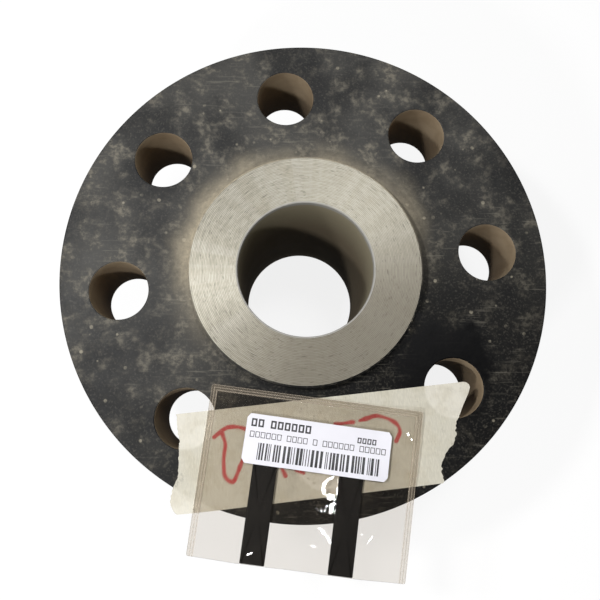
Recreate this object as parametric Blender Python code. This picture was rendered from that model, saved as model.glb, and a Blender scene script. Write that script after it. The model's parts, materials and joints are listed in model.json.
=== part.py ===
"""Raised-face weld neck flange, nominal size 3, class 1500, schedule 80 bore, with a strip of
masking tape and a clear label pouch on its face. Metres, +Z along the bore, towards the raised face.
The origin is on the bore axis, at the height of the centre of mass."""

import math

import bmesh
import bpy

MM = 0.001
CLEARANCE = 0.3 * MM

# The forging, to ASME B16.5
FLANGE_DIAMETER = 266.7 * MM
FLANGE_THICKNESS = 47.7 * MM
LENGTH_THROUGH_HUB = 117.3 * MM
RAISED_FACE_DIAMETER = 127.0 * MM
RAISED_FACE_HEIGHT = 6.35 * MM
BORE_DIAMETER = 73.66 * MM
PIPE_DIAMETER = 88.9 * MM
HUB_BASE_DIAMETER = 133.35 * MM
BOLT_CIRCLE_DIAMETER = 203.2 * MM
BOLT_HOLE_DIAMETER = 31.75 * MM
BOLT_HOLES = 8
FIRST_HOLE_ANGLE = math.radians(6.4)

# The weld end
ROOT_FACE = 1.6 * MM
BEVEL_ANGLE = math.radians(37.5)
STRAIGHT_NECK_TOP = 12.0 * MM

# Turned corners
HUB_FILLET = 8.0 * MM
RIM_CHAMFER = 1.0 * MM
RAISED_FACE_CHAMFER = 0.4 * MM

# Heights in the object's frame
WELD_END_Z = -87.7 * MM
FRONT_FACE_Z = WELD_END_Z + LENGTH_THROUGH_HUB
BACK_FACE_Z = FRONT_FACE_Z - FLANGE_THICKNESS
RAISED_FACE_Z = FRONT_FACE_Z + RAISED_FACE_HEIGHT

TURNED_STEPS = 96
HOLE_STEPS = 40
FILLET_STEPS = 6
CORNER_STEPS = 4

# The tape: its middle, its lie on the face, and its torn ends from top to bottom. Each pair is a
# share of the width up from the middle line, and how far the end reaches there, in millimetres.
TAPE_WIDTH = 50.8 * MM
TAPE_THICKNESS = 0.3 * MM
TAPE_CENTRE = (10.0 * MM, -94.0 * MM)
TAPE_TURN = math.radians(6.4)
TORN_LEFT = [(0.5, -75.6), (0.236, -75.0), (0.02, -76.3), (-0.207, -79.4), (-0.368, -82.3), (-0.5, -79.4)]
TORN_RIGHT = [(0.5, 80.4), (0.386, 79.8), (0.069, 70.2), (-0.104, 68.3), (-0.315, 59.5), (-0.5, 59.5)]
TAPE_REACH = 80.0 * MM
TAPE_CUT_EVERY = 6.0 * MM
DROOP_STARTS = 1.5 * MM
DROOP = 28.0

# The pouch and what is on it. Its sheets rest on the strips, and slope down to the tape above them.
POUCH_WIDTH = 112.0 * MM
POUCH_HEIGHT = 87.0 * MM
POUCH_CENTRE = (0.5 * MM, -111.8 * MM)
POUCH_TURN = math.radians(-7.5)
POUCH_LOWEST = 0.9 * MM
FILM_THICKNESS = 0.3 * MM
FILM_CORNER = 1.0 * MM
SLOPE_STARTS = 8.0 * MM
SLOPE_CUTS = 5
STRIP_WIDTH = 12.7 * MM
STRIP_LENGTH = 50.8 * MM
STRIP_THICKNESS = 1.5 * MM
STRIP_CORNER = 1.5 * MM
STRIP_OFFSET = 22.5 * MM
LABEL_WIDTH = 76.2 * MM
LABEL_HEIGHT = 25.4 * MM
LABEL_CENTRE = (3.0 * MM, 18.2 * MM)
LABEL_THICKNESS = 0.2 * MM
LABEL_CORNER = 3.0 * MM


def clear_scene():
    for obj in list(bpy.data.objects):
        bpy.data.objects.remove(obj, do_unlink=True)


def material(name, colour, roughness, metallic=0.0, alpha=1.0):
    made = bpy.data.materials.new(name)
    made.use_nodes = True
    shader = made.node_tree.nodes["Principled BSDF"]
    shader.inputs["Base Color"].default_value = (*colour, 1.0)
    shader.inputs["Roughness"].default_value = roughness
    shader.inputs["Metallic"].default_value = metallic
    shader.inputs["Alpha"].default_value = alpha
    return made


def add_object(name, bm, finish, parent=None):
    """Turns a bmesh into a named object of the scene."""
    mesh = bpy.data.meshes.new(name)
    bm.to_mesh(mesh)
    bm.free()
    obj = bpy.data.objects.new(name, mesh)
    bpy.context.scene.collection.objects.link(obj)
    obj.parent = parent
    if finish:
        mesh.materials.append(finish)
    return obj


def arc(centre, radius, start, end, steps):
    """Points on a circle about centre, from the start angle to the end angle, in radians."""
    angles = [start + (end - start) * i / steps for i in range(steps + 1)]
    return [(centre[0] + radius * math.cos(a), centre[1] + radius * math.sin(a)) for a in angles]


def hub_fillet(neck, steps):
    """The arc that is tangent to the hub's taper and to the flange's back face."""
    base = (HUB_BASE_DIAMETER / 2, BACK_FACE_Z)
    taper = math.atan2(base[1] - neck[1], base[0] - neck[0])
    # The two lines meet at this angle, and the arc touches each of them this far from their corner.
    inside = math.pi - taper
    reach = HUB_FILLET / math.tan(inside / 2)
    centre = (base[0] + reach, base[1] - HUB_FILLET)
    return arc(centre, HUB_FILLET, taper + math.pi / 2, math.pi / 2, steps)


def forging_profile():
    """Radius and height of the turned outline, from the bore's lower edge up the bore and round."""
    bore = BORE_DIAMETER / 2
    pipe = PIPE_DIAMETER / 2
    rim = FLANGE_DIAMETER / 2
    face = RAISED_FACE_DIAMETER / 2
    bevel_height = (pipe - bore - ROOT_FACE) * math.tan(BEVEL_ANGLE)
    neck = (pipe, WELD_END_Z + STRAIGHT_NECK_TOP)
    return [
        (bore, WELD_END_Z),
        (bore, RAISED_FACE_Z - RAISED_FACE_CHAMFER),
        (bore + RAISED_FACE_CHAMFER, RAISED_FACE_Z),
        (face - RAISED_FACE_CHAMFER, RAISED_FACE_Z),
        (face, RAISED_FACE_Z - RAISED_FACE_CHAMFER),
        (face, FRONT_FACE_Z),
        (rim - RIM_CHAMFER, FRONT_FACE_Z),
        (rim, FRONT_FACE_Z - RIM_CHAMFER),
        (rim, BACK_FACE_Z + RIM_CHAMFER),
        (rim - RIM_CHAMFER, BACK_FACE_Z),
        *reversed(hub_fillet(neck, FILLET_STEPS)),
        neck,
        (pipe, WELD_END_Z + bevel_height),
        (bore + ROOT_FACE, WELD_END_Z),
    ]


def turned_body(profile):
    """Turns the closed profile about the bore axis."""
    bm = bmesh.new()
    loop = [bm.verts.new((r, 0.0, z)) for r, z in profile]
    edges = [bm.edges.new((a, b)) for a, b in zip(loop, loop[1:] + loop[:1])]
    bmesh.ops.spin(
        bm,
        geom=loop + edges,
        cent=(0, 0, 0),
        axis=(0, 0, 1),
        angle=2 * math.pi,
        steps=TURNED_STEPS,
        use_merge=True,
    )
    bmesh.ops.remove_doubles(bm, verts=bm.verts, dist=1e-6)
    bmesh.ops.recalc_face_normals(bm, faces=bm.faces)
    return bm


def bolt_hole_cutter():
    """Eight separate cylinders, a little longer than the flange ring is thick."""
    bm = bmesh.new()
    overshoot = 5.0 * MM
    for hole in range(BOLT_HOLES):
        angle = FIRST_HOLE_ANGLE + 2 * math.pi * hole / BOLT_HOLES
        made = bmesh.ops.create_cone(
            bm,
            cap_ends=True,
            segments=HOLE_STEPS,
            radius1=BOLT_HOLE_DIAMETER / 2,
            radius2=BOLT_HOLE_DIAMETER / 2,
            depth=FLANGE_THICKNESS + 2 * overshoot,
        )
        centre = (
            BOLT_CIRCLE_DIAMETER / 2 * math.cos(angle),
            BOLT_CIRCLE_DIAMETER / 2 * math.sin(angle),
            (FRONT_FACE_Z + BACK_FACE_Z) / 2,
        )
        bmesh.ops.translate(bm, vec=centre, verts=made["verts"])
    cutter = add_object("bolt_hole_cutter", bm, None)
    cutter.hide_render = True
    cutter.display_type = "WIRE"
    return cutter


def make_forging():
    steel = material("dark_coated_steel", (0.045, 0.044, 0.040), 0.5, metallic=0.6)
    forging = add_object("weld_neck_forging", turned_body(forging_profile()), steel)
    forging.data.shade_smooth()
    forging.data.set_sharp_from_angle(angle=math.radians(15))
    cut = forging.modifiers.new("bolt_holes", "BOOLEAN")
    cut.operation = "DIFFERENCE"
    cut.solver = "EXACT"
    cut.object = bolt_hole_cutter()


def rounded_rectangle(width, height, corner, centre=(0.0, 0.0)):
    """Outline of a flat sheet with round corners, anticlockwise."""
    points = []
    for quarter, (sx, sy) in enumerate([(1, 1), (-1, 1), (-1, -1), (1, -1)]):
        middle = (
            centre[0] + sx * (width / 2 - corner),
            centre[1] + sy * (height / 2 - corner),
        )
        start = quarter * math.pi / 2
        points += arc(middle, corner, start, start + math.pi / 2, CORNER_STEPS)
    return points


def sheet(name, outline, cuts, height, thickness, finish, parent):
    """A thin sheet: the outline, cut across at the given places so that it can bend, then lifted
    to height(x, y) and given its thickness upwards. cuts holds pairs of axis and position."""
    bm = bmesh.new()
    bm.faces.new([bm.verts.new((x, y, 0.0)) for x, y in outline])
    for axis, position in cuts:
        normal = (1.0, 0.0, 0.0) if axis == "x" else (0.0, 1.0, 0.0)
        bmesh.ops.bisect_plane(
            bm,
            geom=bm.verts[:] + bm.edges[:] + bm.faces[:],
            plane_co=[part * position for part in normal],
            plane_no=normal,
        )
    bmesh.ops.triangulate(bm, faces=bm.faces)
    for vert in bm.verts:
        vert.co.z = height(vert.co.x, vert.co.y)
    obj = add_object(name, bm, finish, parent)
    solid = obj.modifiers.new("thickness", "SOLIDIFY")
    solid.thickness = thickness
    solid.offset = 1.0
    return obj


def tape_height(x, y):
    """The tape lies on the face, and droops where it reaches past the rim."""
    face_x = TAPE_CENTRE[0] + x * math.cos(TAPE_TURN) - y * math.sin(TAPE_TURN)
    face_y = TAPE_CENTRE[1] + x * math.sin(TAPE_TURN) + y * math.cos(TAPE_TURN)
    past_rim = math.hypot(face_x, face_y) - FLANGE_DIAMETER / 2 - DROOP_STARTS
    return CLEARANCE - DROOP * max(0.0, past_rim) ** 2


def make_tape():
    paper = material("crepe_paper", (0.62, 0.58, 0.45), 0.85)
    holder = bpy.data.objects.new("tape_place", None)
    bpy.context.scene.collection.objects.link(holder)
    holder.location = (*TAPE_CENTRE, FRONT_FACE_Z)
    holder.rotation_euler = (0.0, 0.0, TAPE_TURN)
    outline = [(x * MM, share * TAPE_WIDTH) for share, x in TORN_LEFT + TORN_RIGHT[::-1]]
    columns = round(TAPE_REACH / TAPE_CUT_EVERY)
    rows = round(TAPE_WIDTH / 2 / TAPE_CUT_EVERY)
    cuts = [("x", i * TAPE_CUT_EVERY) for i in range(-columns, columns + 1)]
    cuts += [("y", i * TAPE_CUT_EVERY) for i in range(-rows, rows + 1)]
    sheet("masking_tape", outline, cuts, tape_height, TAPE_THICKNESS, paper, holder)


def pouch_height(y):
    """Height of the pouch's back sheet: on the strips, then down an even slope to its top edge."""
    on_strips = 3 * CLEARANCE + STRIP_THICKNESS + TAPE_THICKNESS
    along = (y - SLOPE_STARTS) / (POUCH_HEIGHT / 2 - SLOPE_STARTS)
    return on_strips + (POUCH_LOWEST - on_strips) * max(0.0, along)


def make_pouch():
    vinyl = material("clear_vinyl", (0.80, 0.78, 0.74), 0.1, alpha=0.25)
    magnet = material("flexible_magnet", (0.012, 0.012, 0.012), 0.45)
    paper = material("label_paper", (0.80, 0.80, 0.82), 0.4)
    holder = bpy.data.objects.new("pouch_place", None)
    bpy.context.scene.collection.objects.link(holder)
    holder.location = (*POUCH_CENTRE, FRONT_FACE_Z)
    holder.rotation_euler = (0.0, 0.0, POUCH_TURN)

    step = FILM_THICKNESS + CLEARANCE
    rise = (POUCH_HEIGHT / 2 - SLOPE_STARTS) / SLOPE_CUTS
    slope_cuts = [("y", SLOPE_STARTS + i * rise) for i in range(SLOPE_CUTS)]
    film = rounded_rectangle(POUCH_WIDTH, POUCH_HEIGHT, FILM_CORNER)
    for level, name in enumerate(["pouch_back_film", "pouch_front_film"]):
        sheet(name, film, slope_cuts, lambda x, y, lift=level * step: pouch_height(y) + lift,
              FILM_THICKNESS, vinyl, holder)

    label = rounded_rectangle(LABEL_WIDTH, LABEL_HEIGHT, LABEL_CORNER, LABEL_CENTRE)
    sheet("part_label", label, slope_cuts, lambda x, y: pouch_height(y) + 2 * step,
          LABEL_THICKNESS, paper, holder)

    strip_y = (STRIP_LENGTH - POUCH_HEIGHT) / 2
    for side, name in [(-1, "magnet_strip_left"), (1, "magnet_strip_right")]:
        strip = rounded_rectangle(STRIP_WIDTH, STRIP_LENGTH, STRIP_CORNER, (side * STRIP_OFFSET, strip_y))
        sheet(name, strip, [], lambda x, y: 2 * CLEARANCE + TAPE_THICKNESS,
              STRIP_THICKNESS, magnet, holder)


clear_scene()
make_forging()
make_tape()
make_pouch()
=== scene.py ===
# %% [markdown]
# # A weld neck flange with its stores label
#
# The object is a forged and turned steel pipe flange. It stands on its weld end, with its grooved
# raised face up. A strip of masking tape and a clear label pouch lie on the side of its face
# towards -Y, and the pouch hangs past the rim there.
# This lesson dresses the plain CAD model: it makes each surface again as a fine mesh, worked out
# with numpy, and gives it a finish. The places and sizes all come from the CAD frame.

# %% Load the frame
import json
import math

import bmesh
import bpy
import numpy as np
from mathutils import Matrix, Vector


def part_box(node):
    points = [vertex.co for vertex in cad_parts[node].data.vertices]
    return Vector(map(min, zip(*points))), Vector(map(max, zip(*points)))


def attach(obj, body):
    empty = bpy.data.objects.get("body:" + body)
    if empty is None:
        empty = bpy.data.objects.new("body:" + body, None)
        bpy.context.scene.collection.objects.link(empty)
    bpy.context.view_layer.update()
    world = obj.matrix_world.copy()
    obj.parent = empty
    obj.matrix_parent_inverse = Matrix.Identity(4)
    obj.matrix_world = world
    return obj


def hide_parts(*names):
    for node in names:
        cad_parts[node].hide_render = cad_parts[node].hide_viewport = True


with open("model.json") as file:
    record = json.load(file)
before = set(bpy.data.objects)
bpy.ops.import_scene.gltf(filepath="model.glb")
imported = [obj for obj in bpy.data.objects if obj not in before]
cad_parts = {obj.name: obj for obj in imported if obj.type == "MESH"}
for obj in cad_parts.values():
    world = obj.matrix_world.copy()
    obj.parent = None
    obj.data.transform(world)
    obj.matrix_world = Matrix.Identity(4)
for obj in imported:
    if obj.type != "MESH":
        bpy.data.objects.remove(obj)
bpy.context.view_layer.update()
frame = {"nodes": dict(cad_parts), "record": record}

MM = 0.001
print("nodes:", sorted(frame["nodes"]))

# %% [markdown]
# ## Driving dimensions
#
# The flange's outline is read from the CAD frame: its box gives the rim, the weld end and the raised
# face, and the record's openings give the middle of each bolt hole. The few sizes that the frame
# doesn't hold are those of the standard flange.

# %% Read the flange's main dimensions
forging_low, forging_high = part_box("weld_neck_forging")
mounts = {mount["name"]: mount for mount in frame["record"]["mounts"]}
openings = {o["name"]: np.array(o["box_m"]) for o in frame["record"]["physics"]["openings"]}
HOLES = 8
hole_centres = np.array([openings[f"bolt_hole_{i + 1}"].mean(axis=0)[:2] for i in range(HOLES)])

RIM_R = forging_high.x
FACE_Z = forging_high.z
WELD_Z = forging_low.z
FLANGE_THICKNESS = 47.7 * MM
BACK_Z = mounts["nut_face"]["pos_m"][2]
FRONT_Z = BACK_Z + FLANGE_THICKNESS
RAISED_R = 63.5 * MM
BORE_R = 36.83 * MM
PIPE_R = 44.45 * MM
HUB_R = 66.675 * MM
HOLE_R = 15.875 * MM
FIRST_HOLE = math.atan2(hole_centres[0][1], hole_centres[0][0])
print(f"rim radius {RIM_R / MM:.2f} mm, face to weld end {(FACE_Z - WELD_Z) / MM:.2f} mm")

# %% [markdown]
# ## Camera
#
# The camera stands in front of the object and looks almost straight down on it. It is placed by two
# points, where it stands and what it looks at. World +Y points up in its picture.

# %% Place the camera
CAMERA_AT = Vector((-13.3, -75.5, 377.1)) * MM
LOOKS_AT = Vector((-3.0, -16.1, 29.6)) * MM
CAMERA_LENS = 38.97

backwards = (CAMERA_AT - LOOKS_AT).normalized()
rightwards = Vector((0, 1, 0)).cross(backwards).normalized()
upwards = backwards.cross(rightwards)
camera_data = bpy.data.cameras.new("camera")
camera_data.lens = CAMERA_LENS
camera_data.sensor_width = 36.0
camera_data.clip_start = 0.01
camera = bpy.data.objects.new("camera", camera_data)
camera_turn = Matrix((rightwards, upwards, backwards)).transposed().to_4x4()
camera.matrix_world = Matrix.Translation(CAMERA_AT) @ camera_turn
bpy.context.scene.collection.objects.link(camera)
bpy.context.scene.camera = camera
print(f"camera {(CAMERA_AT - LOOKS_AT).length / MM:.0f} mm from the middle of its view")

# %% [markdown]
# ## From arrays to meshes
#
# Every surface below is a grid of points worked out at once as numpy arrays. These helpers number the
# grid's faces and put the arrays into a Blender mesh. Grids that meet share the same edge points, so
# merging the doubles closes the seams between them.

# %% Helpers that number a grid and make a mesh
def strip_faces(rows, columns, closed):
    """Four-cornered faces between neighbouring rows of a grid. A closed grid's last column joins
    its first."""
    grid = np.arange(rows * columns).reshape(rows, columns)
    right = np.roll(grid, -1, axis=1) if closed else grid[:, 1:]
    left = grid if closed else grid[:, :-1]
    return np.stack([left[:-1], right[:-1], right[1:], left[1:]], axis=-1).reshape(-1, 4)


def merged(patches):
    """Joins patches of (points, faces, finish number) into one set of arrays."""
    points, faces, finish, count = [], [], [], 0
    for patch_points, patch_faces, number in patches:
        points.append(patch_points.reshape(-1, 3))
        faces.append(patch_faces + count)
        finish.append(np.broadcast_to(number, len(patch_faces)))
        count += len(points[-1])
    return np.concatenate(points), np.concatenate(faces), np.concatenate(finish)


def piece_from(name, patches, finishes, sharp=35.0, weld=2e-6):
    """Makes a closed piece of four-cornered faces: its patches are joined, their shared edge points are
    merged, and its faces are turned outwards."""
    points, faces, finish = merged(patches)
    mesh = bpy.data.meshes.new(name)
    mesh.vertices.add(len(points))
    mesh.vertices.foreach_set("co", points.astype(np.float32).ravel())
    mesh.loops.add(faces.size)
    mesh.loops.foreach_set("vertex_index", faces.ravel().astype(np.int32))
    mesh.polygons.add(len(faces))
    mesh.polygons.foreach_set("loop_start", np.arange(0, faces.size, 4, dtype=np.int32))
    mesh.polygons.foreach_set("material_index", finish.astype(np.int32))
    mesh.update(calc_edges=True)
    shell = bmesh.new()
    shell.from_mesh(mesh)
    bmesh.ops.remove_doubles(shell, verts=shell.verts, dist=weld)
    bmesh.ops.recalc_face_normals(shell, faces=shell.faces)
    open_edges = sum(not edge.is_manifold for edge in shell.edges)
    shell.to_mesh(mesh)
    shell.free()
    mesh.shade_smooth()
    mesh.set_sharp_from_angle(angle=math.radians(sharp))
    for made in finishes:
        mesh.materials.append(made)
    obj = bpy.data.objects.new(name, mesh)
    bpy.context.scene.collection.objects.link(obj)
    triangles = sum(len(polygon.vertices) - 2 for polygon in mesh.polygons)
    print(f"{name}: {len(mesh.vertices)} points, {triangles} triangles, {open_edges} open edges")
    return obj


# %% [markdown]
# ## Helpers for finishes
#
# A finish is a small tree of shader nodes. `node` adds one node and fills its sockets, from numbers or
# from other nodes, so that a tree reads from the inside out, as a formula does. All patterns are worked
# out from Object coordinates, in metres, so a scale of 1000 gives grains of about a millimetre.

# %% Shader helpers
def srgb(red, green, blue):
    """A colour given as it looks on a screen, 0 to 255, as the linear numbers that shaders use."""
    screen = np.array([red, green, blue]) / 255
    linear = np.where(screen <= 0.04045, screen / 12.92, ((screen + 0.055) / 1.055) ** 2.4)
    return (*linear.tolist(), 1.0)


def new_finish(name):
    """A material with its Principled shader, and the piece's own Object coordinates."""
    made = bpy.data.materials.new(name)
    made.use_nodes = True
    tree = made.node_tree
    place = node(tree, "TexCoord").outputs["Object"]
    return made, tree, tree.nodes["Principled BSDF"], place


def node(tree, kind, inputs=None, **settings):
    made = tree.nodes.new("ShaderNode" + kind)
    for key, value in settings.items():
        setattr(made, key, value)
    for key, value in (inputs or {}).items():
        put(tree, made.inputs[key], value)
    return made


def put(tree, socket, value):
    """Fills a socket with a number or colour, or links another node's output to it."""
    if isinstance(value, bpy.types.NodeSocket):
        tree.links.new(value, socket)
    else:
        socket.default_value = value


def fill(tree, shader, values):
    """Fills several of a shader's sockets, each given by its name."""
    for name, value in values.items():
        put(tree, shader.inputs[name], value)


def maths(tree, operation, *values):
    return node(tree, "Math", dict(enumerate(values)), operation=operation).outputs[0]


def times(tree, first, second):
    return maths(tree, "MULTIPLY", first, second)


def vector_maths(tree, operation, first, second=(0.0, 0.0, 0.0), output=0):
    return node(tree, "VectorMath", {0: first, 1: second}, operation=operation).outputs[output]


def noise(tree, place, scale, detail, roughness):
    inputs = {"Vector": place, "Scale": scale, "Detail": detail, "Roughness": roughness}
    return node(tree, "TexNoise", inputs).outputs[0]


def fade(tree, value, start, end):
    """0 where value is at start or before, 1 where it is at end or past it, and smooth between."""
    limits = {"Value": value, "From Min": start, "From Max": end}
    return node(tree, "MapRange", limits, interpolation_type="SMOOTHSTEP").outputs[0]


def mixed(tree, share, first, second):
    """The first colour where share is 0, and the second where it is 1."""
    return node(tree, "Mix", {0: share, 6: first, 7: second}, data_type="RGBA").outputs[2]


def tinted(tree, colour, pattern, start, end, share, tint):
    """Lays this share of a tint over the colour, where the pattern passes from start to end."""
    return mixed(tree, times(tree, fade(tree, pattern, start, end), share), colour, tint)


def bumped(tree, height, distance, strength):
    """A normal that leans as the height, from 0 to 1, rises over the given distance in metres."""
    return node(tree, "Bump", {"Height": height, "Distance": distance, "Strength": strength}).outputs[0]


def round_place(tree, place):
    """Distance from the bore axis, and the direction from it as a vector of length 1."""
    flat = vector_maths(tree, "MULTIPLY", place, (1.0, 1.0, 0.0))
    return vector_maths(tree, "LENGTH", flat, output="Value"), vector_maths(tree, "NORMALIZE", flat)


def towards(tree, direction, degrees):
    """1 on the side of the bore axis that lies at this angle from +X, and -1 on the other side."""
    aim = (math.cos(math.radians(degrees)), math.sin(math.radians(degrees)), 0.0)
    return vector_maths(tree, "DOT_PRODUCT", direction, aim, output="Value")


def height_of(tree, place):
    return node(tree, "SeparateXYZ", {0: place}).outputs["Z"]


# %% [markdown]
# ## The dark coating
#
# The flange is dipped in a thin black rust preventive. Handling and dust have dulled it: there are pale
# dusty clouds and fine specks, a brownish haze round the raised face, and a wet-looking black patch on
# one side. The face is also darker away from 122 degrees, partly dust and partly painted shade. Each is
# a pattern of its own, mixed over the last. The rim, hub and back are evenly dusty.

# %% The coated steel's finish
OILY_PATCH = (75 * MM, -53 * MM)


def coated_steel():
    made, tree, shader, place = new_finish("coated_steel")
    radius, direction = round_place(tree, place)
    clouds = noise(tree, place, 24.0, 5.0, 0.6)
    mottle = noise(tree, place, 95.0, 7.0, 0.66)
    powder = noise(tree, place, 380.0, 5.0, 0.7)
    front = fade(tree, height_of(tree, place), FRONT_Z - 2 * MM, FRONT_Z - 0.5 * MM)
    elsewhere = times(tree, maths(tree, "SUBTRACT", 1.0, front), 0.85)
    # Partly dust and partly painted shade: the face is darker on the side away from 122 degrees.
    dust_and_shade_side = fade(tree, towards(tree, direction, 122.0), -1.05, 0.35)
    dust_and_shade_side = maths(tree, "MAXIMUM", dust_and_shade_side, elsewhere)

    colour = mixed(tree, dust_and_shade_side, srgb(12, 12, 12), srgb(60, 59, 56))
    colour = mixed(tree, fade(tree, clouds, 0.62, 0.36), colour, srgb(22, 22, 22))
    pale = times(tree, fade(tree, mottle, 0.48, 0.69), fade(tree, clouds, 0.34, 0.60))
    pale = times(tree, pale, maths(tree, "MULTIPLY_ADD", fade(tree, powder, 0.38, 0.62), 0.85, 0.22))
    pale = times(tree, pale, maths(tree, "MULTIPLY_ADD", dust_and_shade_side, 0.55, 0.12))
    colour = mixed(tree, pale, colour, srgb(124, 118, 105))
    fine = noise(tree, place, 900.0, 3.0, 0.6)
    colour = tinted(tree, colour, fine, 0.5, 0.72, 0.18, srgb(118, 113, 103))
    wiped = vector_maths(tree, "MULTIPLY", place, (0.07, 1.0, 0.3))
    scratches = fade(tree, noise(tree, wiped, 700.0, 2.0, 0.5), 0.60, 0.72)
    scratches = times(tree, scratches, fade(tree, clouds, 0.42, 0.6))
    colour = mixed(tree, times(tree, scratches, 0.35), colour, srgb(112, 108, 98))

    spots = node(tree, "TexVoronoi", {"Vector": place, "Scale": 210.0, "Randomness": 1.0})
    chance = node(tree, "SeparateColor", {"Color": spots.outputs["Color"]}).outputs["Red"]
    size = times(tree, fade(tree, chance, 0.66, 1.0), 0.26)
    rim = maths(tree, "SUBTRACT", size, spots.outputs["Distance"])
    spot = times(tree, fade(tree, rim, -0.02, 0.09), fade(tree, mottle, 0.40, 0.62))
    colour = mixed(tree, times(tree, spot, 0.7), colour, srgb(150, 143, 126))

    wander = times(tree, maths(tree, "SUBTRACT", clouds, 0.5), 34.0 * MM)
    haze = fade(tree, maths(tree, "ADD", radius, wander), RAISED_R + 19.0 * MM, RAISED_R - 3.0 * MM)
    haze = maths(tree, "POWER", haze, 1.5)
    haze = times(tree, haze, fade(tree, towards(tree, direction, 110.0), -0.6, 0.75))
    haze = times(tree, haze, front)
    haze = times(tree, haze, maths(tree, "MULTIPLY_ADD", powder, 1.1, 0.22))
    colour = mixed(tree, haze, colour, srgb(172, 161, 138))

    patch = vector_maths(tree, "DISTANCE", place, (*OILY_PATCH, FRONT_Z), output="Value")
    patch = maths(tree, "ADD", patch, times(tree, maths(tree, "SUBTRACT", mottle, 0.5), 30 * MM))
    oily = fade(tree, patch, 32 * MM, 22 * MM)
    colour = mixed(tree, times(tree, oily, 0.95), colour, srgb(6, 6, 7))

    rough = maths(tree, "MULTIPLY_ADD", mottle, 0.4, 0.42)
    height = maths(tree, "ADD", times(tree, powder, 0.5), times(tree, mottle, 0.8))
    fill(tree, shader, {
        "Base Color": colour,
        "Metallic": 0.0,
        "Specular IOR Level": maths(tree, "MULTIPLY_ADD", dust_and_shade_side, 0.24, 0.08),
        "Roughness": maths(tree, "SUBTRACT", rough, times(tree, oily, 0.25)),
        "Normal": bumped(tree, height, 0.12 * MM, 0.5),
    })
    return made


# %% [markdown]
# ## The machined face
#
# The raised face is bare steel, turned with a round-nosed tool that leaves one long spiral groove. The
# groove itself is in the mesh. The finish adds a painted shade line along the groove's bottom, dark flecks
# drawn out along the cut, slight changes of tone, and painted shade on the side away from 122 degrees.
# Its highlight is drawn out across the cut, which gives the bright bands that run out from the bore.

# %% The machined face's finish
def machined_steel():
    made, tree, shader, place = new_finish("machined_steel")
    radius, direction = round_place(tree, place)
    across = node(tree, "CombineXYZ", {"Z": radius}).outputs[0]
    along = node(tree, "VectorMath", {0: direction, "Scale": 7.0 * MM}, operation="SCALE").outputs[0]
    turned = vector_maths(tree, "ADD", along, across)
    streaks = noise(tree, turned, 1100.0, 3.0, 0.6)
    flecks = noise(tree, turned, 1900.0, 2.0, 0.5)
    clouds = noise(tree, place, 60.0, 4.0, 0.6)
    sweep = noise(tree, direction, 7.0, 5.0, 0.7)

    colour = mixed(tree, fade(tree, streaks, 0.3, 0.7), srgb(136, 132, 119), srgb(168, 164, 150))
    colour = tinted(tree, colour, sweep, 0.40, 0.62, 0.2, srgb(190, 187, 178))
    colour = tinted(tree, colour, clouds, 0.5, 0.75, 0.25, srgb(130, 121, 103))
    # Painted shade: the side away from 122 degrees is darker, which dims the lamps' highlight there.
    painted_shade_side = times(tree, fade(tree, towards(tree, direction, 122.0), 0.25, -0.85), 0.75)
    colour = mixed(tree, painted_shade_side, colour, srgb(98, 92, 80))
    apart = node(tree, "SeparateXYZ", {0: place})
    angle = maths(tree, "ARCTAN2", apart.outputs["Y"], apart.outputs["X"])
    passed = maths(tree, "DIVIDE", maths(tree, "SUBTRACT", radius, BORE_R + LAND), PITCH)
    turn = maths(tree, "DIVIDE", maths(tree, "SUBTRACT", angle, around[0]), 2 * math.pi)
    passed = maths(tree, "SUBTRACT", passed, turn)
    # Painted shade: a darker line along the bottom of the spiral groove.
    painted_groove_shade = maths(tree, "PINGPONG", passed, 0.5)
    colour = tinted(tree, colour, painted_groove_shade, 0.20, 0.45, 0.6, srgb(84, 79, 66))
    colour = tinted(tree, colour, flecks, 0.60, 0.69, 0.6, srgb(66, 59, 48))
    fill(tree, shader, {
        "Base Color": colour,
        "Metallic": 0.55,
        "Anisotropic": 0.55,
        "Anisotropic Rotation": 0.25,
        "Tangent": node(tree, "Tangent", direction_type="RADIAL", axis="Z").outputs[0],
        "Roughness": maths(tree, "MULTIPLY_ADD", streaks, 0.2, 0.36),
        "Normal": bumped(tree, streaks, 0.02 * MM, 0.4),
    })
    return made


# %% [markdown]
# ## Bore and hole walls
#
# The bore and the bolt holes are drilled and bored, and only a thin film of the preventive reached
# them. It has dried to a warm brown over faint rings from the cutting tool, and the walls are painted
# darker further down, a painted shade deep in the holes. The bore's mouth is paler, where the raised
# face was cut.

# %% The finish of the bore and the hole walls
def bored_steel():
    made, tree, shader, place = new_finish("bored_steel")
    stretched = vector_maths(tree, "MULTIPLY", place, (0.25, 0.25, 1.0))
    rings = noise(tree, stretched, 900.0, 3.0, 0.6)
    stains = noise(tree, place, 55.0, 5.0, 0.6)
    colour = mixed(tree, fade(tree, stains, 0.3, 0.7), srgb(136, 118, 94), srgb(157, 140, 115))
    radius, _ = round_place(tree, place)
    colour = mixed(tree, fade(tree, radius, 60 * MM, 40 * MM), colour, srgb(140, 132, 110))
    colour = tinted(tree, colour, rings, 0.45, 0.7, 0.07, srgb(104, 92, 72))
    height = height_of(tree, place)
    # Painted shade: the walls darken from the front face down to the back face.
    colour = tinted(tree, colour, height, FRONT_Z, BACK_Z, 0.6, srgb(66, 47, 31))
    height = maths(tree, "ADD", height, times(tree, maths(tree, "SUBTRACT", stains, 0.5), 4 * MM))
    mouth = fade(tree, height, FACE_Z - 4.5 * MM, FACE_Z - 3.0 * MM)
    colour = mixed(tree, mouth, colour, srgb(150, 148, 142))
    fill(tree, shader, {
        "Base Color": colour,
        "Metallic": 0.1,
        "Roughness": maths(tree, "MULTIPLY_ADD", stains, 0.3, 0.5),
        "Normal": bumped(tree, rings, 0.03 * MM, 0.3),
    })
    return made


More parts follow.
